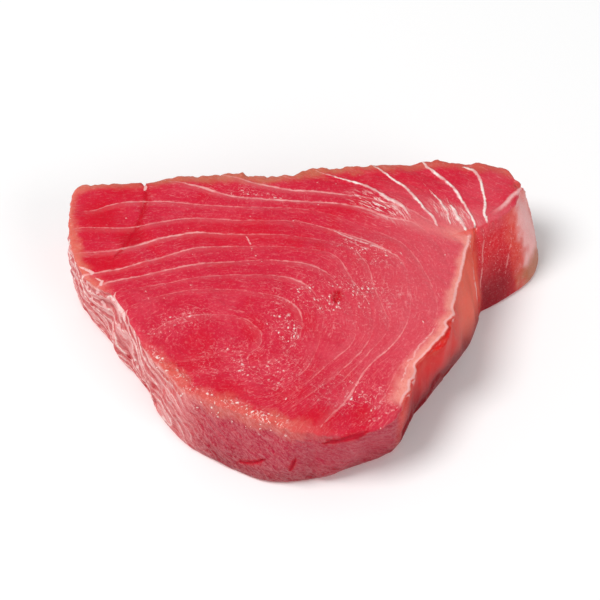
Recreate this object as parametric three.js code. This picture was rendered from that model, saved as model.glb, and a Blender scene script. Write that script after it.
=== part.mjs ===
// A raw tuna loin steak: one closed solid of flesh, lying flat on its cut face.
// Millimetres, +Z up, +X to the right along the straight back edge, +Y towards that edge.
// The origin is the middle of the bounding box, at the height of the board that it lies on.
//
// The steak is a large wedge of muscle with a smaller lobe at its right, and the two meet in a
// crease that runs down the side wall. The whole surface is one box grid: the box's upper and lower
// faces become the two cut faces, and its four sides become the wall between them.

import * as THREE from "three";
import { mergeVertices } from "three/addons/utils/BufferGeometryUtils.js";

// Driving dimensions.
const THICKNESS = 25; // from the lower cut face to the highest flat of the upper one
const FRONT_DROOP = 2.6; // how much lower the upper face lies at the front edge
const CORNER_DROOP = 2.4; // and by how much more at the thin front right corner
const SWELL = 0.45; // height of the slow waves in the upper face
const CRISP_EDGE = 0.8; // rounding of the knife-cut upper edge
const SOFT_EDGE = 2.4; // rounding of the same edge where it sags, at the front
const FOOT_EDGE = 1.2; // rounding of the lower edge
const BULGE = 0.9; // how far the wall swells between its two edges
const WALL_RIPPLE = 0.45; // depth of the folds that run down the wall

// Grid of the box: cells along each side of a cut face, and rows down the wall.
const GRID = 38;
const WALL_ROWS = 10;

// Stations round the steak, counter-clockwise from above. Each row holds a point of the upper edge
// and the point of the lower edge that lies under it: [rim x, rim y, foot x, foot y].
const LEFT_SIDE = [
  [-65.2, 36.2, -64.0, 38.0], // back left corner
  [-65.6, 21.0, -66.4, 21.0],
  [-60.5, 4.0, -59.2, 6.5],
  [-52.0, -3.5, -52.0, -3.2],
  [-42.0, -21.5, -43.0, -17.8],
];
const FRONT_SIDE = [
  [-31.5, -33.0, -34.4, -32.8], // where the left wall turns into the front
  [-19.0, -39.5, -21.4, -41.4],
  [-7.0, -44.5, -8.0, -46.2],
  [6.0, -46.0, 5.0, -44.4],
  [16.5, -43.6, 15.5, -40.5],
];
const RIGHT_SIDE = [
  [22.0, -39.5, 22.8, -34.5], // thin front right corner
  [25.6, -32.0, 27.0, -25.8],
  [29.0, -24.0, 32.0, -18.5],
  [35.6, -18.6, 37.5, -10.5],
  [38.6, -4.0, 43.6, -1.5],
  [43.2, 13.0, 47.0, 7.0],
  [44.6, 19.4, 48.0, 11.4],
  [46.0, 21.2, 49.6, 12.2], // crease between the wedge and the lobe
  [53.0, 26.6, 57.0, 17.6],
  [58.0, 34.0, 64.4, 25.0],
];
const BACK_SIDE = [
  [59.4, 40.6, 66.4, 37.0], // back right corner
  [55.0, 44.6, 60.0, 45.0],
  [40.0, 47.2, 41.0, 46.4],
  [9.0, 45.4, 9.0, 44.6],
  [-4.5, 43.6, -4.5, 43.0],
  [-9.0, 41.0, -9.0, 41.4],
  [-31.0, 42.2, -31.0, 41.6],
  [-47.0, 38.6, -47.0, 39.0],
];

const SIDES = [LEFT_SIDE, FRONT_SIDE, RIGHT_SIDE, BACK_SIDE];
const STATIONS = SIDES.flat();
const STEPS_PER_STATION = 24; // for measuring along the edge

// The upper face's height over the board: flat at the back, sagging to the front and the thin corner.
function faceHeight(x, y) {
  const sag = THREE.MathUtils.smoothstep(-y, 0, 48);
  const thin = 1 - THREE.MathUtils.smoothstep(Math.hypot(x - 22, y + 41), 0, 26);
  const waves = Math.sin(x / 17 + 1) * Math.cos(y / 13 - x / 41) + 0.5 * Math.sin(x / 8 - y / 10);
  return THICKNESS - FRONT_DROOP * sag - CORNER_DROOP * thin + SWELL * (waves - 1) / 1.5;
}

function closedCurve(points) {
  const curve = new THREE.CatmullRomCurve3(points, true, "centripetal");
  curve.arcLengthDivisions = STATIONS.length * STEPS_PER_STATION;
  return curve;
}

const rim = closedCurve(STATIONS.map(([x, y]) => new THREE.Vector3(x, y, 0)));
const foot = closedCurve(STATIONS.map(([, , x, y]) => new THREE.Vector3(x, y, 0)));

// How far round the rim each side of the steak starts, as a share of its length, ending with 1.
const rimLengths = rim.getLengths();
const sideStarts = [0];
let stationsPassed = 0;
for (const side of SIDES) {
  stationsPassed += side.length;
  sideStarts.push(rimLengths[stationsPassed * STEPS_PER_STATION] / rim.getLength());
}

// How far round its square ring a grid point lies: 0 to 4, one unit for each side, going
// counter-clockwise from the corner at the back left.
function turnOf(a, b) {
  const ring = Math.max(Math.abs(a), Math.abs(b));
  if (ring === 0) return 0;
  if (a === -ring && b > -ring) return (1 - b / ring) / 2;
  if (b === -ring && a < ring) return 1 + (1 + a / ring) / 2;
  if (a === ring && b < ring) return 2 + (1 + b / ring) / 2;
  return 3 + (1 - a / ring) / 2;
}

// The rim point and the foot point that a turn of 0 to 4 leads to, with the way each edge runs there.
function edgesAt(turn) {
  const side = Math.min(Math.floor(turn), 3);
  const share = THREE.MathUtils.lerp(sideStarts[side], sideStarts[side + 1], turn - side);
  const t = rim.getUtoTmapping(share % 1);
  const ways = [rim.getTangent(t), foot.getTangent(t)];
  return { top: rim.getPoint(t), bottom: foot.getPoint(t), ways, share };
}

// How far a quarter-round edge pulls in at this distance from it.
function roundingAt(distance, radius) {
  const reach = 1 - Math.min(distance, radius) / radius;
  return radius * (1 - Math.sqrt(1 - reach * reach));
}

// A point of the wall, at depth 0 on the upper edge to 1 on the lower one.
function wallPoint(turn, depth) {
  const { top, bottom, ways, share } = edgesAt(turn);
  const height = faceHeight(top.x, top.y);
  const front = THREE.MathUtils.smoothstep(-top.y, 12, 42);
  const soft = THREE.MathUtils.lerp(CRISP_EDGE, SOFT_EDGE, front);
  const pulledIn = roundingAt(depth * height, soft) + roundingAt((1 - depth) * height, FOOT_EDGE);
  const between = Math.sin(Math.PI * depth);
  const around = 2 * Math.PI * share;
  const folds = Math.sin(23 * around + 3 * depth) + 0.7 * Math.sin(41 * around - 4 * depth);
  const outwards = BULGE * between + WALL_RIPPLE * folds * between - pulledIn;
  const along = ways[0].lerp(ways[1], depth);
  const facing = new THREE.Vector3(along.y, -along.x, 0).normalize();
  const point = top.lerp(bottom, depth).addScaledVector(facing, outwards);
  return point.setZ(height * (1 - depth));
}

// Where the box's grid point (a, b, c) goes, with each coordinate from -1 to 1.
function steakPoint(a, b, c) {
  const ring = Math.max(Math.abs(a), Math.abs(b));
  const depth = (1 + Math.sin(-c * Math.PI / 2)) / 2; // rows lie closer near both edges
  const point = wallPoint(turnOf(a, b), depth);
  if (ring < 1) point.multiplyScalar(ring);
  if (c === 1) point.z = faceHeight(point.x, point.y);
  if (c === -1) point.z = 0;
  return point;
}

// The box grid with every vertex moved to its place, centred over the origin.
function steakGeometry() {
  const box = new THREE.BoxGeometry(2, 2, 2, GRID, GRID, WALL_ROWS);
  box.deleteAttribute("normal");
  box.deleteAttribute("uv");
  const geometry = mergeVertices(box, 1e-4);
  const places = geometry.attributes.position;
  const onGrid = (value, cells) => Math.round((value + 1) * cells / 2) * 2 / cells - 1;
  for (let i = 0; i < places.count; i++) {
    const a = onGrid(places.getX(i), GRID);
    const b = onGrid(places.getY(i), GRID);
    const c = onGrid(places.getZ(i), WALL_ROWS);
    const point = steakPoint(a, b, c);
    places.setXYZ(i, point.x, point.y, point.z);
  }
  geometry.computeBoundingBox();
  const middle = geometry.boundingBox.getCenter(new THREE.Vector3());
  geometry.translate(-middle.x, -middle.y, 0);
  geometry.computeVertexNormals();
  return geometry;
}

const flesh = new THREE.MeshStandardMaterial({ color: 0xd43b4b, roughness: 0.35, metalness: 0 });

const steak = new THREE.Mesh(steakGeometry(), flesh);
steak.name = "tuna_steak";

const part = new THREE.Group();
part.add(steak);

export default part;
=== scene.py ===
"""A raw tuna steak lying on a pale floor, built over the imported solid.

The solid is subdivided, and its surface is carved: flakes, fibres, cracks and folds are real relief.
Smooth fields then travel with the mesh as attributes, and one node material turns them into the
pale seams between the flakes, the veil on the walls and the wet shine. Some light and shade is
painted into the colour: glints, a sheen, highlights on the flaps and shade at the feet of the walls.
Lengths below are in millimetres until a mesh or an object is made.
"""
import itertools

import bmesh
import bpy
import numpy as np
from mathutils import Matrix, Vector
from mathutils.bvhtree import BVHTree
from mathutils.kdtree import KDTree


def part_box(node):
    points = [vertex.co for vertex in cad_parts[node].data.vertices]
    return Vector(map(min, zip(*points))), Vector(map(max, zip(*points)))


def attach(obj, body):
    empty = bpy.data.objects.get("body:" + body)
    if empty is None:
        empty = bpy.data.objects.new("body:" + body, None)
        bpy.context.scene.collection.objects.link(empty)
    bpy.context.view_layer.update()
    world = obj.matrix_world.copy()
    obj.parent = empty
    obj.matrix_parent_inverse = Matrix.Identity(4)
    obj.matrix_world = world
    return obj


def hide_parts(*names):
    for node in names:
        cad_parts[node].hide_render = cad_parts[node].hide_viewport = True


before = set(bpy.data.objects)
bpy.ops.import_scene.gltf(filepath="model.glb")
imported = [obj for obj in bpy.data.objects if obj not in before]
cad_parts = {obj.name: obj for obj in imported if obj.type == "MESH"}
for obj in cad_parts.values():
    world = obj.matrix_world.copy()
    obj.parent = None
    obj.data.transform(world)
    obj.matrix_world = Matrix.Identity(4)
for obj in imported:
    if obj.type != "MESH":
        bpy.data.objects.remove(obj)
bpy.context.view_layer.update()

MM = 0.001
NODE = "tuna_steak"
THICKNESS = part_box(NODE)[1].z / MM

# How fine the flesh is made.
SUBDIVISIONS = 3
TRIANGLES = 196_000
RING_SAMPLES = 720  # directions round the axis at which the wall is measured
RIM_DEPTH = 1.2  # how far below the cut face the rim is measured
FIELD_STEP = 0.5  # spacing of the grid that the seam fields are worked out on
FIELD_HALF = (75, 55)  # half the length and half the width of that grid
SEAM_REACH = 2.5  # how far from its line a seam can still show
LINE_STEP = 1.0  # spacing of the points that a seam line is filled in with
TRACE_STEP = 0.3  # spacing of the points along a split or a thread

# The seams between the flakes of the wedge, from its core outwards: x, y and how clearly it shows.
# Each is the front of one cone of muscle, so they nest like the letter U lying on its side.
RING_SEAMS = [
    [(-40, -16, .3), (-36, -12.5, .5), (-30, -10.6, .5), (-22, -10, .3), (-16, -11.5, .4),
     (-12.5, -15.5, .4), (-11.8, -19.5, .4), (-15, -22.8, .2), (-24, -23.8, .2), (-36, -26, .15)],
    [(-44, -6, .1), (-35, -2.5, .35), (-20, -1.5, .3), (-13, -2.8, .35), (-6, -4.8, .5),
     (-1.8, -9.5, .6), (-1.5, -16, .2), (-5, -23, .15), (-14, -27, .2), (-35, -30, .15)],
    [(-48, -1.5, .1), (-40, .2, .4), (-30, 2.3, .4), (-22, 3.5, .4), (-10, 3.7, .5),
     (-3, 1.6, .8), (3, -5, .15), (4.5, -12, .1), (.5, -27, .4), (-8, -33.5, .15), (-20, -36, .05)],
    [(-55, .5, .9), (-46, 3, .7), (-33, 6.4, .75), (-22, 8.4, .6), (-9, 9.2, .5), (1, 6.8, .75),
     (8, .5, .15), (12.3, -12, .15), (12, -19, .4), (5.5, -26, .45), (-3, -35, .2), (-9, -39, .1)],
    [(-58.5, 3.8, 1), (-51, 5.6, .8), (-41, 9.4, .75), (-31, 12.9, .7), (-20, 14.2, .5),
     (-5, 14, .3), (7, 10.5, .35), (12, 1, .6), (17, -9, .1), (16, -19, .35), (9, -28, .5),
     (-5, -41, .1)],
    [(-60, 11.5, .6), (-50, 12.9, .9), (-43, 15.7, 1.1), (-31, 19.2, .85), (-20, 18.5, .6),
     (-4, 18, .35), (9, 14.8, .3), (15.5, 8, .5), (18.5, -4, .4), (21.5, -14, .25), (17, -21, .4),
     (9, -31, .3), (1, -40, .15)],
    [(-62, 20.3, .4), (-47, 21.2, .7), (-39, 23.5, .6), (-30, 24.7, .7), (-14, 23.5, .45),
     (-2, 23.6, .4), (8, 20, .6), (19, 14, .9), (26, 7, .3), (27, -9, .2), (23, -19, .7),
     (16, -26.5, .6), (11, -36, .8), (5, -43.5, .5)],
    [(-60, 26.5, .4), (-52, 30.2, .7), (-38, 31, .6), (-22, 28.8, .5), (0, 28, .3), (13, 23, .2),
     (26, 14.5, .4), (33, 0, .3), (33.5, -12, .2), (25, -25, .2), (20, -36, .3), (16, -42, .2)],
    [(-37, 38.6, .4), (-29, 36.3, 1.2), (-20, 32.6, .9), (-5, 31.1, .95), (9, 30.3, .8),
     (17.5, 27.5, 1.2), (22, 24.8, .9), (29, 23, .6), (36, 14, .05), (39, 3, .05)],
    [(-24, 41, .4), (-14, 37.8, 1), (-5, 35.6, 1), (5, 34.7, 1), (15, 33, .5), (21, 30.8, .9),
     (28.5, 27.5, .8), (33, 24, .5)],
]

# The thick white seams of the smaller lobe, which all run to the hinge where the lobe joins.
FAN_SEAMS = [
    [(3, 42.8, .4), (13, 38.9, 1.1), (16.5, 37.2, 1.6), (19.5, 34.8, 1.3), (22.3, 32, 1.9),
     (28, 27.6, 1.2)],
    [(18.5, 45.6, .5), (20.5, 43.5, .9), (24.5, 39.6, 1.3), (28, 35.5, 1.4), (33, 26.7, 1.5),
     (35.5, 23.4, 1.2)],
    [(31, 40, .1), (34.5, 35, .3), (37, 31, 1.1), (39.8, 24.5, 1.1)],
    [(39.4, 30, .4), (40.4, 27.6, 1.5), (41.6, 24.7, 2.2), (43, 22, 1.4)],
    [(32, 46.5, .6), (34.2, 44, 1.3), (40, 37.6, 1.6), (44, 29, 1.2), (46.4, 21.5, 1)],
    [(45.3, 46.2, 1.3), (48.5, 39, 1.4), (49, 34.5, 1.2), (49.4, 28, 1.2), (47.8, 22.5, .9)],
]


def smoothstep(x, low, high):
    t = np.clip((x - low) / (high - low), 0, 1)
    return t * t * (3 - 2 * t)


def srgb(red, green, blue):
    """A colour given from 0 to 255 as it looks on a screen, for a shader socket."""
    def linear(value):
        value /= 255
        return value / 12.92 if value <= .04045 else ((value + .055) / 1.055) ** 2.4
    return (linear(red), linear(green), linear(blue), 1)


FLESH = srgb(207, 32, 60)
ROSE = srgb(216, 62, 82)
DEEP = srgb(208, 6, 37)
BLOOM = srgb(218, 86, 98)
SALMON = srgb(234, 96, 76)
BLUSH = srgb(226, 134, 132)
PLUM = srgb(170, 20, 54)
# Painted shade: the dark red that the walls are darkened with towards their feet.
SHADE_MAROON = srgb(122, 0, 22)
VERMILION = srgb(212, 20, 20)
CRIMSON = srgb(212, 30, 42)
GARNET = srgb(186, 0, 30)
BLOOD = srgb(172, 8, 38)
WET_RED = srgb(198, 0, 32)
APRICOT = srgb(226, 132, 108)
CREAM = srgb(240, 156, 142)
# Painted shadow: the darkest red, at the very foot of the right wall.
SHADOW_DARK = srgb(84, 0, 12)
RUST = srgb(196, 110, 84)
OLIVE = srgb(168, 100, 56)
VEIL = srgb(240, 184, 182)
# The pale pink of the seams, also used for painted light beside them.
SEAM_AND_SHEEN = srgb(240, 160, 160)
SILVER = srgb(240, 170, 168)
PINK = srgb(230, 122, 124)
# The white of fat, also used for painted highlights and glints.
FAT_AND_HIGHLIGHT = srgb(252, 234, 228)


# ---- Noise and fields -------------------------------------------------------------------------

def lattice(cells, seed):
    """A fixed random number from -1 to 1 for each whole-numbered cell."""
    x, y, z = (cells[:, i].astype(np.int64) for i in range(3))
    h = (x * 374761393 + y * 668265263 + z * 1274126177 + seed * 974634777) & 0xFFFFFFFF
    h = ((h ^ (h >> 13)) * 1103515245) & 0xFFFFFFFF
    h = ((h ^ (h >> 15)) * 2654435761) & 0xFFFFFFFF
    return ((h >> 8) & 0xFFFF) / 32767.5 - 1


def noise(x, y, z, seed, octaves=1):
    """Smooth noise from about -1 to 1, with features one unit across, each octave half as big."""
    total = 0
    for octave in range(octaves):
        points = np.stack([x, y, z], axis=1) * 2 ** octave
        cell = np.floor(points)
        t = points - cell
        t = t * t * t * (t * (t * 6 - 15) + 10)
        for corner in itertools.product((0, 1), repeat=3):
            weight = np.prod(np.where(corner, t, 1 - t), axis=1)
            total = total + weight * lattice(cell + corner, seed + octave) / 2 ** octave
    return total


def fill_line(line):
    """A seam's points filled in along a smooth curve, one every LINE_STEP."""
    points = np.array(line, float)
    padded = np.vstack([2 * points[0] - points[1], points, 2 * points[-1] - points[-2]])
    filled = []
    for a, b, c, d in zip(padded, padded[1:], padded[2:], padded[3:]):
        count = max(2, int(np.hypot(*(c - b)[:2]) / LINE_STEP))
        t = np.linspace(0, 1, count, endpoint=False)[:, None]
        filled.append(.5 * (2 * b + (c - a) * t + (2 * a - 5 * b + 4 * c - d) * t ** 2
                            + (3 * b - a - 3 * c + d) * t ** 3))
    return np.vstack(filled + [points[-1:]])


def thin_plate(r2):
    return .5 * r2 * np.log(r2 + 1e-9)


class SeamField:
    """A smooth surface over x and y whose whole-numbered contours are the given seam lines."""

    def __init__(self, seams, smoothing):
        lines = [fill_line(line) for line in seams]
        levels = np.concatenate([np.full(len(line), i + 1.) for i, line in enumerate(lines)])
        self.points = np.vstack(lines)
        anchors = self.points[::4, :2]
        count = len(anchors)
        system = np.zeros((count + 3, count + 3))
        r2 = ((anchors[:, None] - anchors[None]) ** 2).sum(2)
        system[:count, :count] = thin_plate(r2) + smoothing * np.eye(count)
        system[:count, count:] = np.column_stack([np.ones(count), anchors])
        system[count:, :count] = system[:count, count:].T
        weights = np.linalg.solve(system, np.concatenate([levels[::4], np.zeros(3)]))
        self.x, self.y = (np.arange(-half, half + FIELD_STEP, FIELD_STEP) for half in FIELD_HALF)
        grid = np.stack(np.meshgrid(self.x, self.y, indexing="ij"), axis=2)
        height = weights[count] + grid @ weights[count + 1:]
        for anchor, weight in zip(anchors, weights):
            height += weight * thin_plate(((grid - anchor) ** 2).sum(2))
        slope = np.hypot(*np.gradient(height, FIELD_STEP))
        self.level = height
        self.gap = 1 / np.maximum(slope, .02)

    def sample(self, grid, x, y):
        """A grid's value at each x and y, between its points."""
        u = np.clip((x - self.x[0]) / FIELD_STEP, 0, len(self.x) - 1.001)
        v = np.clip((y - self.y[0]) / FIELD_STEP, 0, len(self.y) - 1.001)
        i, j = u.astype(int), v.astype(int)
        u, v = u - i, v - j
        low = grid[i, j] * (1 - u) + grid[i + 1, j] * u
        high = grid[i, j + 1] * (1 - u) + grid[i + 1, j + 1] * u
        return low * (1 - v) + high * v

    def show(self, x, y):
        """How clearly the nearest seam shows, falling to nothing at SEAM_REACH from its line."""
        tree = KDTree(len(self.points))
        for i, (px, py, _) in enumerate(self.points):
            tree.insert((px, py, 0), i)
        tree.balance()
        found = [tree.find((px, py, 0)) for px, py in zip(x, y)]
        clarity = self.points[[index for _, index, _ in found], 2]
        distance = np.array([d for _, _, d in found])
        return clarity * (1 - smoothstep(distance, SEAM_REACH * .5, SEAM_REACH))


# ---- Where a point lies on the steak -------------------------------------------------------------

class Outline:
    """The rim of the cut face, measured all the way round the solid."""

    def __init__(self, solid):
        tree = BVHTree.FromBMesh(solid)
        self.angle = np.linspace(-np.pi, np.pi, RING_SAMPLES, endpoint=False)
        ways = [Vector((np.cos(a), np.sin(a), 0)) for a in self.angle]
        middle = self.look_in(tree, ways, np.full(RING_SAMPLES, THICKNESS * .7))
        self.rim_height = np.array([self.face_height(tree, Vector((x, y, 0))) for x, y in middle])
        self.rim = self.look_in(tree, ways, self.rim_height - RIM_DEPTH)
        steps = np.hypot(*(np.roll(self.rim, -1, axis=0) - self.rim).T)
        self.arc = np.concatenate([[0], np.cumsum(steps)[:-1]])
        self.length = steps.sum()
        self.finder = KDTree(RING_SAMPLES)
        for i, (x, y) in enumerate(self.rim):
            self.finder.insert((x, y, 0), i)
        self.finder.balance()

    def face_height(self, tree, wall):
        """The height of the cut face at its outermost flat point inside a point of the wall."""
        for share in (.98, .96, .94, .92, .9, .87, .84, .8):
            start = wall * share + Vector((0, 0, 2 * THICKNESS))
            place, normal, _, _ = tree.ray_cast(start * MM, Vector((0, 0, -1)))
            if normal.z > .9:
                return place.z / MM
        return THICKNESS

    def look_in(self, tree, ways, heights):
        """Where the wall is met on the way in from outside, at each direction's height."""
        starts = [200 * way + Vector((0, 0, z)) for way, z in zip(ways, heights)]
        hits = [tree.ray_cast(start * MM, -way)[0] for start, way in zip(starts, ways)]
        return np.array([(p.x / MM, p.y / MM) for p in hits])

    def at(self, values, x, y):
        """A value given for each direction, read off in the direction of each point."""
        return np.interp(np.arctan2(y, x), self.angle, values, period=2 * np.pi)

    def wave(self, x, y, start):
        """One sine wave round the whole length of the rim, starting this far along it."""
        turn = self.arc * 2 * np.pi / self.length
        return self.at(np.sin(turn - start), x, y)

    def inward(self, x, y):
        """The distance from the rim, seen from above."""
        return np.array([self.finder.find((px, py, 0))[2] for px, py in zip(x, y)])


def spot(x, y, centre, radii, turn=0.):
    """1 at the middle of an ellipse, falling smoothly to 0 at its edge."""
    c, s = np.cos(np.radians(turn)), np.sin(np.radians(turn))
    dx, dy = x - centre[0], y - centre[1]
    u, v = (dx * c + dy * s) / radii[0], (dy * c - dx * s) / radii[1]
    return 1 - smoothstep(np.hypot(u, v), 0, 1)


class Traces:
    """Lines on the surface: each a path through points near it, a half width and a strength."""

    def __init__(self, tree, traces):
        points, settings = [], []
        for path, width, strength in traces:
            for a, b in zip(path, path[1:]):
                a, b = Vector(a), Vector(b)
                count = max(2, int((b - a).length / TRACE_STEP))
                points += [tree.find_nearest(a.lerp(b, i / count) * MM)[0] / MM for i in range(count)]
            share = np.linspace(-1, 1, len(points) - len(settings))
            settings += [(width * (1 - .7 * t ** 4), strength) for t in share]
        self.settings = np.array(settings)
        self.finder = KDTree(len(points))
        for i, point in enumerate(points):
            self.finder.insert(point, i)
        self.finder.balance()

    def at(self, points):
        """How far each point is from the nearest line, in half widths, and that line's strength."""
        found = [self.finder.find(point) for point in points]
        width, strength = self.settings[[index for _, index, _ in found]].T
        return np.array([distance for _, _, distance in found]) / width, strength


class Place:
    """Where each vertex lies: its height on the steak, its side, and how far from the rim."""

    def __init__(self, points, normals, outline):
        x, y, z = self.x, self.y, self.z = points.T
        self.fine = noise(x / 2.2, y / 2.2, z / 2.2, 37, 3)
        self.drop = np.maximum(outline.at(outline.rim_height, x, y) - z, 0)
        self.inward = outline.inward(x, y)
        self.under = smoothstep(-normals[:, 2], .4, .8) * (1 - smoothstep(z, 1, 2))
        self.wall = smoothstep(self.drop + .2 * self.fine, .4, 1.3) * (1 - self.under)
        self.top = 1 - self.wall - self.under
        self.edge = self.inward * (1 - self.wall) + self.drop * self.wall
        # Fibres on the wall slope down to the right in front, and the other way at the back.
        self.slant = z + SLANT_RISE * outline.wave(x, y, SLANT_START)
        self.flap = self.slant / 4.4 + .9 * noise(x / 12, y / 12, z / 8, 13, 2)
        self.seam_x = x + SEAM_LEAN[0] * (z - THICKNESS)
        self.seam_y = y + SEAM_LEAN[1] * (z - THICKNESS)
        # The distance in from the lip that the cut has left along the right of the face.
        ragged = .3 + .5 * smoothstep(-y, 4, 14)
        lip = np.interp(y, LIP_Y, LIP_X) + ragged * noise(y / 3.2, 0 * y, 0 * y, 41, 3)
        self.lip = (lip - x) * .92
        self.lip_here = smoothstep(y, -38, -34) * (1 - smoothstep(y, 16, 20)) * (1 - self.under)
        # The sides, by where they stand.
        self.left = (1 - smoothstep(x, -40, -22)) * (1 - smoothstep(y, 30, 38))
        self.front = smoothstep(x, -40, -22) * (1 - smoothstep(y, -38, -28)) * (1 - smoothstep(x, 22, 26))
        past_crease = smoothstep(x - np.interp(z, CREASE_Z, CREASE_X), -.5, .9)
        self.right = smoothstep(x, 22, 26) * (1 - past_crease) * (1 - smoothstep(y, 25, 32))
        self.lobe = past_crease * (1 - smoothstep(y, 36, 41))
        self.back = smoothstep(y, 33, 39)


# ---- Relief ----------------------------------------------------------------------------------------

# Heights of the relief on the cut face.
PILLOW = .17  # of each flake between its seams
CORD = .12  # of the lobe's thick seams
GRAIN = .1
SWELL = .5  # slow unevenness
CRUMBS = .45
# Heights of the relief on each wall: its fibres, and its ledges of loose flakes.
FIBRES = {"left": .28, "front": .16, "back": .12}
LEDGES = {"left": .9, "front": .25, "back": .25}
SOFT_FOLDS = .3
PITS = .12
LIP_STEP = .7  # how far the lip stands out over the wall below it
RAGGED_RIM = (.3, .2)  # slow and fine raggedness of the rim

SLANT_RISE = 40.  # height of the wave that the wall's fibres follow round the steak
SLANT_START = 1.2  # where on the wall it starts, in radians
SEAM_LEAN = (-.25, .12)  # how far seams drift sideways for each millimetre down

# How the crease between the wedge and the lobe leans: z, then x.
CREASE_Z = (0, 7, 14, 20, 25)
CREASE_X = (48.8, 48.2, 46.6, 46.2, 46.2)

# The outer edge of the lip along the right of the face: y, then x.
LIP_Y = (-40, -34.4, -32.2, -30.5, -27.4, -24.2, -22, -19.2, -15.7, -7.5, -.9, 5.5, 11.7, 19)
LIP_X = (22.5, 24.7, 25.5, 26.5, 28.5, 29.2, 31.2, 34, 36.4, 38.6, 40.1, 41.6, 43, 45)

# Splits in the flesh: a path close to the surface, then the half width and the depth of the split.
SPLITS = [
    ([(-45.4, 42, 16), (-45.6, 41, 24), (-45.5, 37, 25)], 1.4, 1.4),
    ([(-44.9, 38, 25), (-44.7, 33, 25), (-45, 28, 25), (-46.4, 21, 25), (-48.9, 14.3, 25), (-52.5, 9, 25)],
     .8, .16),
    ([(8.6, -2.2, 24.6), (7.6, -4, 24.6), (7.5, -6.8, 24.6)], 1.1, .7),
    ([(3.5, -46.7, 17.5), (8, -46.4, 18.2), (12, -46, 19.6), (15.5, -45, 19.8)], .8, .35),
    ([(-18, -43, 5), (-13.3, -45.1, 8), (-10.5, -45.6, 10)], .7, .35),
    ([(-4.8, -47.6, 7), (-2.8, -47.5, 12)], .6, .3),
    ([(-51, -11.5, 6), (-46.5, -16, 11)], .8, .4),
    ([(-46, -18, 3), (-42.5, -22, 7)], .8, .4),
]
# Heights on the wall between which a push sets in: everywhere, only high up, or only low down.
EVERYWHERE, HIGH, LOW = (-2, -1), (6, 16), (20, 10)
# Where the steak stands out further, or less far, than the solid: the middle of the patch, its radii,
# where on the wall, and the push.
PUSHES = [
    ((-67, 40), (10, 9), EVERYWHERE, (-.4, 1.2)),  # back left corner
    ((60.5, 43), (5.5, 9), HIGH, (0, -4)),  # back right corner, beside the flap of membrane
    ((-3.8, 44), (4.5, 7), EVERYWHERE, (0, -2)),  # step in the back edge
    ((-13, 42.5), (9, 7), EVERYWHERE, (0, 1.2)),
    ((-51, -8), (7, 9), LOW, (-1.5, -.7)),  # loose flaps of the left wall
    ((-42, -25), (7, 7), LOW, (-1., -.7)),
    ((-15, -45), (14, 8), LOW, (0, -.7)),  # foot of the front wall
    ((15, -44), (15, 8), LOW, (-.3, 1.1)),
]
# The notch between the lobe's end and the flap of membrane beside it.
NOTCH = [([(59, 42, 18), (59, 39, 25), (58.4, 36.8, 25)], 1.2, 1.3)]
# The fold between the wedge and the lobe.
HINGE = [([(46.2, 22, 25.5), (46.2, 17, 20), (46.6, 12, 14), (48.2, 9, 7), (48.8, 8.5, 0)], 1.8, 1.)]
# The flap of membrane that stands along the front of the lobe.
FRINGE = [([(49, 24.5, 25), (54.7, 29.7, 25), (58, 33.6, 25), (60.4, 37.6, 24.5)], 1.1, .7)]

# Fine pale threads: a path close to the surface, then the half width and how clearly it shows.
THREADS = [
    ([(46.1, 22.5, 25), (46.1, 16.7, 21), (46.2, 13.2, 16.7), (46.5, 9.4, 12.7), (47.4, 8.2, 6.5)],
     .36, .8),
    ([(44.6, 18.7, 25), (45.1, 13.6, 20.4), (45.7, 10, 16.2), (47, 8.6, 9.5), (47.9, 8.4, 2)], .36, .8),
    ([(48.2, 22, 23), (48.6, 16.9, 16.8), (48.3, 14.2, 11.5), (48.3, 11.8, 5.9)], .3, .45),
    ([(57, 27.3, 20.9), (56.9, 24.2, 16.9), (56.2, 20.8, 12.5), (55.3, 18, 7.2)], .3, .35),
    ([(61, 32, 20), (63, 30, 15), (63.5, 27, 10)], .3, .4),
    ([(64, 37, 18), (65, 34, 12), (65.4, 30, 7)], .35, .5),
    ([(-61.5, 6.6, 25), (-59, 5.2, 25), (-57.4, 4.5, 24), (-58.6, 3.2, 20), (-58, 0, 14)], .5, 1.),
    ([(-57, 2.6, 25), (-54.7, 1.5, 25), (-55.6, .2, 21), (-54.4, -4, 15), (-52, -8, 9)], .5, 1.),
    ([(-51, -2.5, 25), (-51.6, -4.6, 23), (-51, -7, 19), (-49, -11, 13)], .5, .9),
    ([(-47.6, -8, 25), (-47.8, -11, 20), (-45, -15, 15)], .45, .7),
    ([(7, 20.5, 25), (14, 15.5, 25), (18, 13.8, 25), (22, 12, 25)], .35, .8),
    ([(9, 17, 25), (15, 13, 25), (20, 11.5, 25)], .25, .5),
    ([(-17, 18.5, 25), (-15, 14, 25), (-15.3, 11.5, 25)], .25, .7),
    ([(-38, 23.4, 25), (-38.3, 20.5, 25)], .25, .6),
    ([(-45, 37.2, 25), (-45.2, 34.6, 25)], .5, 1.),
    ([(-42.5, -4, 25), (-41.5, -5.5, 25)], .25, .6),
    ([(34, -12, 25), (32.4, -16, 25), (28.5, -20.6, 25), (25.5, -26, 25), (23, -33, 25)], .3, .5),
    ([(14, -42.5, 25), (20, -40.5, 25), (24.5, -37.5, 25)], .25, .5),
]


def trace_all(tree):
    lines = {"splits": SPLITS, "notch": NOTCH, "hinge": HINGE, "fringe": FRINGE, "threads": THREADS}
    return {name: Traces(tree, traces) for name, traces in lines.items()}


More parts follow.
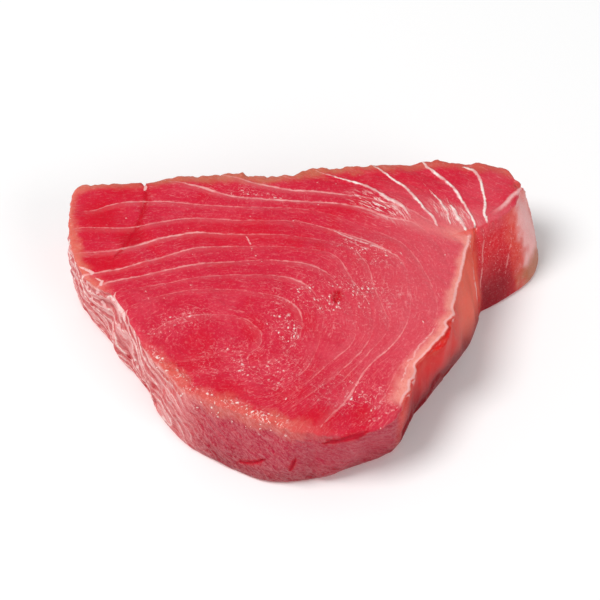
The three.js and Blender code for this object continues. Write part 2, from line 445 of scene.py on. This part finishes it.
def top_relief(p, rings, fan):
    """Height added to the cut face: pillowed flakes, raised seams and a fibrous grain."""
    level = rings.sample(rings.level, p.seam_x, p.seam_y)
    off_seam = np.abs(level - np.round(level)) * 2
    pillow = PILLOW * (1 - (1 - off_seam) ** 3)
    fan_level = fan.sample(fan.level, p.seam_x, p.seam_y)
    distance = np.abs(fan_level - np.round(fan_level)) * fan.sample(fan.gap, p.seam_x, p.seam_y)
    cord = CORD * fan.show(p.seam_x, p.seam_y) * (1 - smoothstep(distance, .1, .7))
    grain = GRAIN * noise(p.x / 1.2, p.y / 1.2, level * 3, 3, 2)
    swell = SWELL * noise(p.x / 10, p.y / 10, p.z * 0, 5, 2)
    crumbs = CRUMBS * p.crumbs * noise(p.x / 1.4, p.y / 1.4, p.z / 1.4, 7, 2)
    return pillow + cord + grain + swell + crumbs


def wall_relief(p):
    """Height added to the wall: slanting fibres, loose flaps on the left, soft on the right."""
    streak = noise(p.x / 5, p.y / 5, p.slant / .9, 11, 2)
    ledge = p.flap - np.floor(p.flap)
    ledge = ledge * (1 - smoothstep(ledge, .72, 1)) - .35
    soft = noise(p.x / 6, p.y / 6, p.z / 6, 17, 2)
    pits = noise(p.x / 1.1, p.y / 1.1, p.z / 1.5, 19, 2)
    rough = sum(height * getattr(p, side) for side, height in FIBRES.items())
    loose = sum(height * getattr(p, side) for side, height in LEDGES.items())
    away = smoothstep(p.drop, .5, 3)
    folds = SOFT_FOLDS * soft * (1 - .7 * p.right)
    pitted = PITS * (p.lobe + .2 * p.right) * pits
    return rough * streak + away * loose * ledge + folds + pitted - .45 * p.left - .3 * p.lobe


def crumbled(p):
    """Where the cut has left the front left of the rim grainy."""
    along = smoothstep(p.x, -46, -38) * (1 - smoothstep(p.x, -10, 0)) * (1 - smoothstep(p.y, -24, -16))
    return along * (1 - smoothstep(p.inward + .5 * p.drop, 1.5, 5))


def carve(points, normals, outline, rings, fan, traces):
    """The smooth surface pushed in and out along its normals, with its foot kept on the floor."""
    p = Place(points, normals, outline)
    p.crumbs = crumbled(p)
    fade = smoothstep(p.z, .2, 2.5)
    height = p.top * top_relief(p, rings, fan) + p.wall * fade * wall_relief(p)
    for name, sign in (("splits", -1), ("notch", -1), ("hinge", -1), ("fringe", 1)):
        distance, depth = traces[name].at(points)
        height += sign * depth * (1 - smoothstep(distance, 0, 1)) * (1 - p.under)
    # The lip along the right stands out over the wall below it.
    height -= LIP_STEP * p.lip_here * smoothstep(-p.lip, -.1, .3) * (1 - smoothstep(-p.lip, .3, 4))
    # The rim is ragged, seen from above.
    level = 0 * p.x
    torn = smoothstep(noise(p.x / 12, p.y / 12, level, 33), -.3, .3)
    ragged = RAGGED_RIM[0] * noise(p.x / 4, p.y / 4, level, 29, 2)
    ragged += RAGGED_RIM[1] * noise(p.x / 1.4, p.y / 1.4, level, 30, 2) * torn
    ragged = ragged * (1 + .8 * p.back) + .35 * p.back
    height += ragged * (1 - smoothstep(p.inward, 0, 2.5)) * fade * (1 - p.under)
    carved = points + normals * height[:, None]
    for centre, radii, height_range, push in PUSHES:
        here = spot(p.x, p.y, centre, radii) * smoothstep(p.z, *height_range)
        carved[:, :2] += here[:, None] * np.array(push)
    carved[:, 2] = np.maximum(carved[:, 2], 0)
    return carved


# ---- Colours and fields for the material ---------------------------------------------------------

def layered(base, layers):
    """Colours laid over each other: each layer is how much it covers each vertex, and its colour."""
    colour = np.array(base[:3], float)[None]
    for cover, over in layers:
        cover = np.clip(cover, 0, 1)[:, None]
        colour = colour * (1 - cover) + np.array(over[:3]) * cover
    return colour


def deep_red(p):
    """Where the flesh of the cut face is clear and dark, so that its grain hardly shows."""
    x, y = p.x, p.y
    return np.maximum.reduce([
        spot(x, y, (-54, 7.5), (13, 9)), spot(x, y, (-57, 25), (11, 14)),
        spot(x, y, (-48, 18), (10, 7)), .7 * spot(x, y, (-51, 34), (16, 6)),
        .8 * spot(x, y, (2, -41.5), (11, 5), 8), .8 * spot(x, y, (14, -39), (5, 4)),
        .6 * spot(x, y, (-30, -26), (14, 5), 10), .4 * spot(x, y, (4, 28), (16, 4)),
        .5 * spot(x, y, (-20, -33), (16, 5), -20), .4 * spot(x, y, (20, 40), (40, 8)),
        .7 * spot(x, y, (-22, 19), (30, 10)),
    ]) * (1 - p.wall)


def broad_colour(p, traces):
    """The slow changes of colour over the steak, which the material adds its fine detail to."""
    x, y, z = p.x, p.y, p.z
    where = np.column_stack([x, y, z])
    face = 1 - p.wall
    mottle = noise(x / 7, y / 7, z / 7, 31, 3)
    # Painted sheen: the right of the cut face made paler pink, where a broad soft reflection lies on the wet
    # flesh.
    painted_sheen = smoothstep(x - .35 * y, -10, 40) * (1 - smoothstep(y - .1 * x, 22, 27)) * face
    painted_sheen *= smoothstep(y, -42, -6)
    wedge = spot(x, y, (-48, 16.5), (4.5, 6), -30) * face
    split = traces["splits"].at(where)[0] + .35 * p.fine
    hinge, _ = traces["hinge"].at(where)
    fringe, _ = traces["fringe"].at(where)
    # How far down the wall a point is; the front wall is darkened by it, a painted shade at its foot.
    low = smoothstep(p.drop, 8, 24)
    rim_noise = .9 * p.fine + .6 * mottle
    left_rim = (1 - smoothstep(x, -58, -50)) * (1 - smoothstep(p.edge + rim_noise, .6, 3.4))
    front_rim = (1 - smoothstep(y, -26, -16)) * (1 - smoothstep(x, -8, 14)) * (1 - smoothstep(x, -8, 20))
    front_rim *= 1 - smoothstep(p.edge + 1.5 * rim_noise, .8, 4.5)
    back_rim = smoothstep(y, 34, 39) * (1 - smoothstep(p.edge + rim_noise, 1.1, 4.4))
    lip_width = np.interp(y, (-36, -28, -18, 5, 19), (5, 5, 3.6, 2.4, 2.4))
    lip_band = p.lip_here * (1 - smoothstep(p.lip + .5 * rim_noise, .2 * lip_width, 1.2 * lip_width))
    outside = p.lip_here * (1 - smoothstep(p.lip, -.2, .2)) * (1 - p.under)
    outside = np.maximum(outside, p.right * p.wall)
    # How far down the right wall is darkened towards its foot, a painted shade.
    low_right_shade = smoothstep(p.drop - 7 * smoothstep(y, -12, 4), 5, 19)
    lean = x - .25 * (THICKNESS - z) + p.fine
    membrane = (1 - smoothstep(y + 4 * mottle, 34, 46)) * smoothstep(x, 46, 50) * p.wall
    return layered(FLESH, [
        (smoothstep(mottle, .1, .9) * .5, ROSE),
        (smoothstep(-mottle, .1, .9) * .5, DEEP),
        # Painted sheen over the right of the cut face.
        (painted_sheen * .85, BLOOM),
        (deep_red(p), DEEP),
        (wedge * .9, GARNET),
        (spot(x, y, (35, 21), (17, 5), -18) * face * .75, PINK),
        (spot(x, y, (42, 19), (8, 5), -20) * face * .7, CREAM),
        (spot(x, y, (35, 28), (22, 9), -32) * face * .7, BLOOM),
        (spot(x, y, (51, 36), (12, 9), 50) * face * .4, BLOOM),
        (spot(x, y, (41, 25.5), (11, 5.5), -36) * face * .4, BLUSH),
        (p.left * p.wall * .85, BLUSH),
        (p.front * p.wall * .9, PLUM),
        # Painted shade: the front wall darkened towards its foot.
        (p.front * p.wall * low * .75, SHADE_MAROON),
        (left_rim * .6, APRICOT),
        (front_rim * .4, APRICOT),
        (lip_band * .85, CREAM),
        (outside, SALMON),
        (outside * (1 - smoothstep(y + .6 * p.drop, -12, 6)), VERMILION),
        (outside * (.06 + .15 * p.fine) * (1 - smoothstep(y, 0, 12)), RUST),
        # Painted shade: the wall under the front right corner, where it is cut under.
        (p.wall * spot(x, y, (27, -33), (9, 13), -40) * smoothstep(p.drop, 1, 10) * .8, SHADE_MAROON),
        # Painted shade: the right wall darkened towards its foot.
        (outside * low_right_shade * .9, SHADE_MAROON),
        # Painted shadow: the lowest part of the right wall made darker still.
        (outside * smoothstep(low_right_shade, .6, 1) * .25, SHADOW_DARK),
        (p.lobe * p.wall, CRIMSON),
        (p.lobe * p.wall * (1 - smoothstep(p.drop + p.fine, 1, 6)) * .5, BLOOM),
        # Painted shade: the lobe's wall darkened towards its foot.
        (p.lobe * p.wall * smoothstep(p.drop, 6, 20) * (.85 - .55 * smoothstep(x, 54, 62)), SHADE_MAROON),
        (membrane * smoothstep(lean, 52, 56) * .55, SALMON),
        (membrane * smoothstep(lean + 2.5 * mottle, 55, 59) * .9, VEIL),
        (membrane * smoothstep(lean, 53, 57) * smoothstep(p.drop, 16.5, 21) * .8, OLIVE),
        (p.back * p.wall * .35, RUST),
        (back_rim * (.85 - .3 * smoothstep(x, 10, 35)), RUST),
        ((1 - smoothstep(split, .5, 2.2)) * .8, WET_RED),
        ((1 - smoothstep(hinge, .2, .9)) * p.wall * .5, CRIMSON),
        ((1 - smoothstep(fringe, .3, 1)) * smoothstep(x, 50, 56) * .9, VEIL),
    ])


def paint_fields(mesh, outline, rings, fan):
    """The smooth fields that the material reads, one value for each vertex."""
    points = read(mesh, "co", mesh.vertices) / MM
    normals = read(mesh, "vector", mesh.vertex_normals)
    p = Place(points, normals, outline)
    x, y = p.x, p.y
    final = bmesh.new()
    final.from_mesh(mesh)
    traces = trace_all(BVHTree.FromBMesh(final))
    final.free()
    saw = p.flap - np.floor(p.flap)
    thread, thread_show = traces["threads"].at(points)
    split, _ = traces["splits"].at(points)
    front_veil = .26 * p.front * (1 - .3 * smoothstep(x, -12, 6))
    veil = np.clip(p.left + front_veil + .35 * p.back, 0, 1) * p.wall
    fields = {
        "wall": p.wall, "slant": p.slant, "lip": p.lip, "split": np.minimum(split, 4),
        "lip_here": p.lip_here * (1 - smoothstep(p.drop, 3, 5)),
        "thread": np.minimum(thread, 4), "thread_show": thread_show,
        # Where the lip of each loose flap is, painted as a highlight.
        "ledge": 1 - smoothstep(np.abs(saw - .74), 0, .16),
        "cuts": (p.front + .4 * p.left) * p.wall * smoothstep(p.drop, 6, 16),
        # Where the recess under each flap is, painted as shade.
        "recess": 1 - smoothstep(np.abs((saw - .95 + .5) % 1 - .5), .04, .22),
        "calm": deep_red(p),
        "crumbs": crumbled(p),
        "veil": veil * smoothstep(split, .7, 1.5),
        "frost": np.maximum.reduce([
            spot(x, y, (20, 29.5), (14, 6), -32), .8 * spot(x, y, (40, 26.5), (11, 5), -34)]) * (1 - p.wall),
        # Where the painted glints gather on the cut face.
        "sparkle": np.maximum.reduce([
            .8 * spot(x, y, (8, -4), (26, 15)), .9 * spot(x, y, (-6, -14), (8, 14)),
            .9 * spot(x, y, (15, 12), (14, 8), -25), .8 * spot(x, y, (-34, -13), (14, 6), 20),
            .7 * spot(x, y, (12, -34), (18, 9)), .6 * spot(x, y, (-12, 33), (22, 4), -10),
            .6 * spot(x, y, (-14, -27), (26, 12), -12),
            .8 * spot(x, y, (16, -37), (4, 6)), crumbled(p)]) * (1 - p.wall),
        "pores": np.maximum(p.lobe * (1 - .6 * smoothstep(p.drop, 8, 20)), .3 * p.right) * p.wall,
    }
    for name, seams in (("ring", rings), ("fan", fan)):
        fields[name] = seams.sample(seams.level, p.seam_x, p.seam_y)
        fields[name + "_gap"] = seams.sample(seams.gap, p.seam_x, p.seam_y)
        fields[name + "_show"] = seams.show(p.seam_x, p.seam_y) * (1 - p.wall * (.8 - .5 * p.back))
    for name, values in fields.items():
        attribute = mesh.attributes.new(name, "FLOAT", "POINT")
        attribute.data.foreach_set("value", np.asarray(values, np.float32))
    tint = mesh.attributes.new("tint", "FLOAT_COLOR", "POINT")
    colours = np.column_stack([broad_colour(p, traces), np.ones(len(x))])
    tint.data.foreach_set("color", colours.astype(np.float32).ravel())


# ---- Mesh ------------------------------------------------------------------------------------------

def applied(piece):
    """The piece's mesh with its modifiers applied, in place of the one it had."""
    bpy.context.view_layer.update()
    final = bpy.data.meshes.new_from_object(piece.evaluated_get(bpy.context.evaluated_depsgraph_get()))
    piece.modifiers.clear()
    piece.data = final
    return final


def read(mesh, field, items):
    """One vector of a mesh for each of its items, as rows."""
    values = np.empty(len(items) * 3)
    items.foreach_get(field, values)
    return values.reshape(-1, 3)


def build_flesh():
    """The steak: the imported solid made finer, carved, thinned out and painted with its fields."""
    solid = bmesh.new()
    solid.from_mesh(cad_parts[NODE].data)
    bmesh.ops.remove_doubles(solid, verts=solid.verts, dist=.01 * MM)
    outline = Outline(solid)
    traces = trace_all(BVHTree.FromBMesh(solid))
    bmesh.ops.join_triangles(solid, faces=solid.faces, angle_face_threshold=.7, angle_shape_threshold=1.5)
    mesh = bpy.data.meshes.new("tuna_flesh")
    solid.to_mesh(mesh)
    solid.free()
    flesh = bpy.data.objects.new("tuna_flesh", mesh)
    bpy.context.scene.collection.objects.link(flesh)
    finer = flesh.modifiers.new("finer", "SUBSURF")
    finer.levels = finer.render_levels = SUBDIVISIONS
    mesh = applied(flesh)

    rings = SeamField(RING_SEAMS, 1.)
    fan = SeamField(FAN_SEAMS, .2)
    points = read(mesh, "co", mesh.vertices) / MM
    normals = read(mesh, "vector", mesh.vertex_normals)
    carved = carve(points, normals, outline, rings, fan, traces)
    mesh.vertices.foreach_set("co", (carved * MM).ravel())

    fewer = flesh.modifiers.new("fewer", "DECIMATE")
    fewer.ratio = TRIANGLES / (2 * len(mesh.polygons))
    mesh = applied(flesh)
    mesh.polygons.foreach_set("use_smooth", np.ones(len(mesh.polygons), bool))
    paint_fields(mesh, outline, rings, fan)
    return flesh


# ---- Material --------------------------------------------------------------------------------------

# The wet surface of the flesh: even values, set on the shader's own sockets.
SURFACE = {
    "Specular IOR Level": .09,
    "Subsurface Weight": .15,
    "Subsurface Radius": (1., .2, .15),
    "Subsurface Scale": 1.5 * MM,
    "Coat Weight": .15,
    "Coat Roughness": .08,
}
BUMP_HEIGHT = .5 * MM
BUMP_STRENGTH = .6


class Graph:
    """Short ways to add shader nodes to a material."""

    def __init__(self, material):
        self.tree = material.node_tree

    def add(self, kind, inputs=(), **settings):
        node = self.tree.nodes.new("ShaderNode" + kind)
        for name, value in settings.items():
            setattr(node, name, value)
        for key, value in dict(inputs).items():
            if isinstance(value, bpy.types.NodeSocket):
                self.tree.links.new(value, node.inputs[key])
            else:
                node.inputs[key].default_value = value
        return node

    def field(self, name):
        return self.add("Attribute", attribute_name=name).outputs["Fac"]

    def math(self, operation, a, b=0., c=0.):
        return self.add("Math", {0: a, 1: b, 2: c}, operation=operation).outputs[0]

    def times(self, *values):
        total = values[0]
        for value in values[1:]:
            total = self.math("MULTIPLY", total, value)
        return total

    def step(self, x, low, high, start=0., end=1.):
        """Goes smoothly from start to end as x goes from low to high."""
        inputs = {"Value": x, "From Min": low, "From Max": high, "To Min": start, "To Max": end}
        return self.add("MapRange", inputs, interpolation_type="SMOOTHSTEP").outputs["Result"]

    def vector(self, x, y, z):
        return self.add("CombineXYZ", {0: x, 1: y, 2: z}).outputs[0]

    def noise(self, vector, scale, detail=2., roughness=.5, distortion=0.):
        inputs = {"Vector": vector, "Scale": scale, "Detail": detail, "Roughness": roughness,
                  "Distortion": distortion}
        return self.add("TexNoise", inputs).outputs["Fac"]

    def mix(self, factor, a, b):
        node = self.add("Mix", data_type="RGBA")
        for socket, value in zip((node.inputs[0], node.inputs[6], node.inputs[7]), (factor, a, b)):
            if isinstance(value, bpy.types.NodeSocket):
                self.tree.links.new(value, socket)
            else:
                socket.default_value = value
        return node.outputs[2]


def seam_mask(g, place, name, width):
    """1 on the seams of a field, with a wavering edge, and 0 between them."""
    level, gap, show = g.field(name), g.field(name + "_gap"), g.field(name + "_show")
    saw = g.math("ABSOLUTE", g.math("SUBTRACT", g.math("FRACT", g.math("ADD", level, .5)), .5))
    waver = g.math("MULTIPLY_ADD", g.noise(place, .7, 4., .6), .9, -.45)
    distance = g.math("ABSOLUTE", g.math("ADD", g.math("MULTIPLY", saw, gap), waver))
    reach = g.math("MULTIPLY", show, width)
    line = g.step(distance, reach, g.math("MULTIPLY", reach, .2))
    patchy = g.step(g.noise(place, .3, 3.), .34, .6, .45, 1.)
    return g.math("MULTIPLY", g.math("MULTIPLY", line, patchy), g.math("MINIMUM", show, 1.))


def speck_mask(g, vector, size, share, reach):
    """Small specks of many sizes, one in this share of the cells that space is split into."""
    cells = g.add("TexVoronoi", {"Vector": vector, "Scale": 1 / size, "Randomness": 1.})
    chosen = g.add("SeparateXYZ", {0: cells.outputs["Color"]}).outputs
    radius = g.math("MULTIPLY_ADD", chosen[1], reach, reach * .3)
    dot = g.step(cells.outputs["Distance"], radius, g.math("MULTIPLY", radius, .5))
    return g.math("MULTIPLY", dot, g.math("LESS_THAN", chosen[0], share))


class Patterns:
    """The fine patterns of the flesh: masks from 0 to 1, and the noises that they come from."""

    def __init__(self, g):
        self.g = g
        metres = g.add("TexCoord").outputs["Object"]
        self.place = g.add("VectorMath", {0: metres, "Scale": 1 / MM}, operation="SCALE").outputs[0]
        self.axes = g.add("SeparateXYZ", {0: self.place}).outputs
        self.wall = g.field("wall")
        self.veil = g.field("veil")
        self.face = g.math("SUBTRACT", 1., self.wall)
        self.grain = g.noise(self.place, 1.6, 5., .75)
        self.patches = g.noise(self.place, .16, 3., .6)
        calm = g.times(g.field("calm"), .75)
        self.clear = g.math("SUBTRACT", 1., g.math("MAXIMUM", calm, self.wall))
        self.busy = g.times(g.field("sparkle"), g.step(self.patches, .35, .6, .3, 1.3))
        self.add_fibres()
        self.add_veil()
        self.add_gashes()
        self.add_lines()
        self.add_specks()

    def drawn_out(self, length, field, width):
        """Space squeezed so that noise in it comes out as streaks along a field's contours."""
        g = self.g
        x = g.math("DIVIDE", self.axes[0], length)
        y = g.math("DIVIDE", self.axes[1], length)
        return g.vector(x, y, g.math("DIVIDE", field, width))

    def add_fibres(self):
        """Streaks along the flakes of the cut face, and fine scratches across them."""
        g = self.g
        self.ring_run = g.times(g.field("ring"), 6.)
        fan_run = g.times(g.field("fan"), 6.)
        self.fibre = g.noise(self.drawn_out(2.6, self.ring_run, .36), 1., 3., .7)
        shown = g.step(self.patches, .3, .65, .25, 1.)
        self.streaks = g.times(g.step(self.fibre, .52, .76, 0., .5), shown, self.face, self.clear)
        # Painted light: a paler band beside each seam, standing for the light on each pillowed flake.
        beside_seam = g.step(g.math("FRACT", g.field("ring")), .45, .98, 0., .17)
        self.painted_sheen = g.times(beside_seam, g.math("MINIMUM", g.field("ring_show"), 1.), self.face)
        feather = g.noise(self.drawn_out(3., fan_run, .45), 1., 4., .7, .4)
        self.frost = g.times(g.field("frost"), g.step(feather, .5, .62, 0., .9))
        scratch = g.math("ABSOLUTE", g.math("SUBTRACT", g.noise(self.place, .42, 3., .6, .6), .5))
        self.scratches = g.times(g.step(scratch, .022, .004), g.step(self.grain, .4, .6), self.busy, .7)

    def add_veil(self):
        """The pale membrane on the walls: long hairs on the left one, a short grain elsewhere, with a
        painted highlight on the lip of each loose flap and painted shade in the recess under it.
        """
        g, veil, slant = self.g, self.veil, self.g.field("slant")
        self.hair = g.noise(self.drawn_out(3., slant, .45), 1., 5., .7, .8)
        self.short = g.noise(self.drawn_out(1.1, slant, .8), 1., 5., .8, 1.)
        self.loose = g.step(veil, .4, .8)
        coarse = g.noise(self.drawn_out(7., slant, 1.6), 1., 3., .6, .5)
        net = g.add("TexVoronoi", {"Vector": self.drawn_out(3.6, slant, 1.), "Scale": 1.},
                    feature="DISTANCE_TO_EDGE").outputs["Distance"]
        hairs = g.math("MAXIMUM", g.step(self.hair, .42, .58), g.step(net, .06, .01, 0., .6))
        tight = g.math("SUBTRACT", 1., self.loose)
        veins = g.math("ADD", g.times(hairs, self.loose), g.times(g.step(self.short, .38, .64), tight))
        edge = g.step(g.times(self.grain, g.field("ledge")), .3, .5)
        self.hollows = g.times(veil, g.step(coarse, .54, .4), .38)
        self.veins = g.times(veil, veins, .95)
        # Painted shade in the recess under each flap, and a painted highlight on each flap's lip.
        self.recess_shade = g.times(veil, veil, g.field("recess"), .65)
        self.ledge_highlights = g.times(veil, veil, edge, .75)

    def add_gashes(self):
        """The splits with their torn edges, and small cuts low on the walls."""
        g = self.g
        torn = g.math("MULTIPLY_ADD", g.noise(self.place, .8, 4., .7), 2.4, g.field("split"))
        cuts = g.noise(self.drawn_out(2.4, g.field("slant"), 1.1), .8, 3., .6, 1.)
        cuts = g.times(g.step(cuts, .6, .68), g.field("cuts"))
        self.gash = g.math("MAXIMUM", g.step(torn, 2.1, 1.5), cuts)

    def add_lines(self):
        """The seams, the pale threads, and the line along the lip."""
        g = self.g
        self.rings = seam_mask(g, self.place, "ring", .48)
        self.fans = seam_mask(g, self.place, "fan", .43)
        ragged = g.math("MULTIPLY_ADD", self.grain, 1.2, g.field("thread"))
        self.threads = g.times(g.step(ragged, 1.8, 1.2), g.field("thread_show"))
        lip = g.math("MULTIPLY_ADD", self.grain, .8, g.math("SUBTRACT", g.field("lip"), .75))
        self.lip_line = g.times(g.step(lip, -.25, 0.), g.step(lip, .7, .2), g.field("lip_here"))

    def add_specks(self):
        """Painted glints on the cut face, partly fat, painted glints among the crumbs on its rim, and dots
        in the pores of the walls.
        """
        g, grain = self.g, self.grain
        jitter = g.add("TexNoise", {"Vector": self.place, "Scale": 1.5}).outputs["Color"]
        shaken = g.add("VectorMath", {0: self.place, 1: jitter}, operation="ADD").outputs[0]
        pores = g.field("pores")
        # Painted glints, partly fat: pale specks along the flakes.
        glints = speck_mask(g, self.drawn_out(1.3, self.ring_run, .7), 1., .45, .38)
        glints = g.times(glints, g.step(g.times(self.busy, grain), .2, .36))
        # Painted glints among the crumbs of the front left rim.
        crumbs = speck_mask(g, shaken, .9, .4, .34)
        crumbs = g.times(crumbs, g.step(g.times(g.field("crumbs"), grain), .2, .4))
        dots = g.times(speck_mask(g, shaken, .55, .4, .3), pores, .45)
        # Painted glints: a few larger lone specks.
        lone = g.times(speck_mask(g, shaken, 1.7, .12, .17), g.step(self.patches, .45, .6), self.face)
        self.pores = g.times(pores, g.step(grain, .48, .64), .4)
        self.specks = g.math("MAXIMUM", g.math("MAXIMUM", glints, dots), g.math("MAXIMUM", lone, crumbs))


def flesh_colour(g, m):
    """The broad colours with the fine patterns laid over them, from the deepest to the uppermost."""
    colour = g.add("Attribute", attribute_name="tint").outputs["Color"]
    for cover, over in [
        (g.step(m.grain, .3, .48, .4, 0.), DEEP),
        (g.times(g.step(m.grain, .52, .74, 0., .36), m.clear), SEAM_AND_SHEEN),
        # Painted light: the paler band beside each seam.
        (m.painted_sheen, SEAM_AND_SHEEN),
        (m.streaks, SEAM_AND_SHEEN),
        (m.scratches, FAT_AND_HIGHLIGHT),
        (m.hollows, DEEP),
        (m.veins, VEIL),
        # Painted shade under each flap, and a painted highlight on its lip.
        (m.recess_shade, GARNET),
        (m.ledge_highlights, FAT_AND_HIGHLIGHT),
        (g.times(m.gash, .7), g.mix(m.wall, WET_RED, BLOOD)),
        (m.pores, PINK),
        (g.times(m.rings, .9), SILVER),
        (m.frost, FAT_AND_HIGHLIGHT),
        (m.fans, FAT_AND_HIGHLIGHT),
        (g.times(m.lip_line, .75), VEIL),
        (m.threads, VEIL),
        # Pale specks: partly fat, partly painted glints.
        (g.times(m.specks, .85), FAT_AND_HIGHLIGHT),
    ]:
        colour = g.mix(cover, colour, over)
    return colour


def flesh_height(g, m):
    """The finest relief, which is too small for the mesh."""
    height = g.math("ADD", g.times(m.grain, .5), g.times(m.fibre, m.face, .25))
    height = g.math("ADD", height, g.times(m.hair, m.veil, m.loose, .9))
    height = g.math("ADD", height, g.times(m.short, m.wall, .3))
    height = g.math("SUBTRACT", height, g.times(m.gash, g.math("MAXIMUM", m.wall, .3)))
    return g.math("ADD", height, g.times(g.math("ADD", m.specks, m.fans), .5))


def flesh_material():
    material = bpy.data.materials.new("raw_tuna")
    material.use_nodes = True
    g = Graph(material)
    m = Patterns(g)
    shader = g.tree.nodes["Principled BSDF"]
    heights = {"Height": flesh_height(g, m), "Strength": BUMP_STRENGTH, "Distance": BUMP_HEIGHT}
    bump = g.add("Bump", heights).outputs[0]
    g.tree.links.new(flesh_colour(g, m), shader.inputs["Base Color"])
    g.tree.links.new(g.step(m.grain, .3, .7, .32, .5), shader.inputs["Roughness"])
    g.tree.links.new(bump, shader.inputs["Normal"])
    g.tree.links.new(bump, shader.inputs["Coat Normal"])
    for name, value in SURFACE.items():
        shader.inputs[name].default_value = value
    return material


def floor_material():
    material = bpy.data.materials.new("pale_floor")
    material.use_nodes = True
    g = Graph(material)
    shader = g.tree.nodes["Principled BSDF"]
    place = g.add("TexCoord").outputs["Object"]
    shade = g.mix(g.noise(place, 3., 2.), (.96, .96, .96, 1), (.98, .98, .98, 1))
    g.tree.links.new(shade, shader.inputs["Base Color"])
    shader.inputs["Roughness"].default_value = .7
    return material


# ---- Scene ---------------------------------------------------------------------------------------------

# The camera looks down on the front of the steak.
CAMERA_ELEVATION = 49  # degrees
CAMERA_DISTANCE = .484  # metres
CAMERA_TARGET = (-2, 5.4, 12.5)
CAMERA_LENS = 106.4
# Each lamp's name, its place and size in metres, and its power.
LAMPS = [
    ("key", (-1.1, -.3, 1.8), 1., 31.2),
    ("fill", (1.4, -1.5, 1.2), 1.4, 15.2),
]
WORLD_LIGHT = .4


def aim(thing, target):
    thing.rotation_euler = (target - thing.location).to_track_quat("-Z", "Y").to_euler()


def add_light(name, place, size, power, target):
    light = bpy.data.lights.new(name, "AREA")
    light.shape = "DISK"
    light.size = size
    light.energy = power
    lamp = bpy.data.objects.new(name, light)
    lamp.location = place
    bpy.context.scene.collection.objects.link(lamp)
    aim(lamp, target)


def add_camera():
    elevation = np.radians(CAMERA_ELEVATION)
    target = Vector(CAMERA_TARGET) * MM
    camera = bpy.data.cameras.new("camera")
    camera.sensor_width = 36
    camera.lens = CAMERA_LENS
    camera.clip_start = .01
    holder = bpy.data.objects.new("camera", camera)
    back = Vector((0, -np.cos(elevation), np.sin(elevation)))
    holder.location = target + CAMERA_DISTANCE * back
    bpy.context.scene.collection.objects.link(holder)
    aim(holder, target)
    bpy.context.scene.camera = holder


def add_stage():
    bpy.ops.mesh.primitive_plane_add(size=6)
    floor = bpy.context.object
    floor.name = "floor"
    floor.data.materials.append(floor_material())
    middle = Vector((0, 0, 10)) * MM
    for name, place, size, power in LAMPS:
        add_light(name, place, size, power, middle)
    world = bpy.data.worlds.new("studio")
    world.use_nodes = True
    world.node_tree.nodes["Background"].inputs["Color"].default_value = (1, 1, 1, 1)
    world.node_tree.nodes["Background"].inputs["Strength"].default_value = WORLD_LIGHT
    bpy.context.scene.world = world
    bpy.context.scene.view_settings.view_transform = "Standard"


add_camera()
add_stage()
flesh = build_flesh()
flesh.data.materials.clear()
flesh.data.materials.append(flesh_material())
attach(flesh, "root")
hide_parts(NODE)
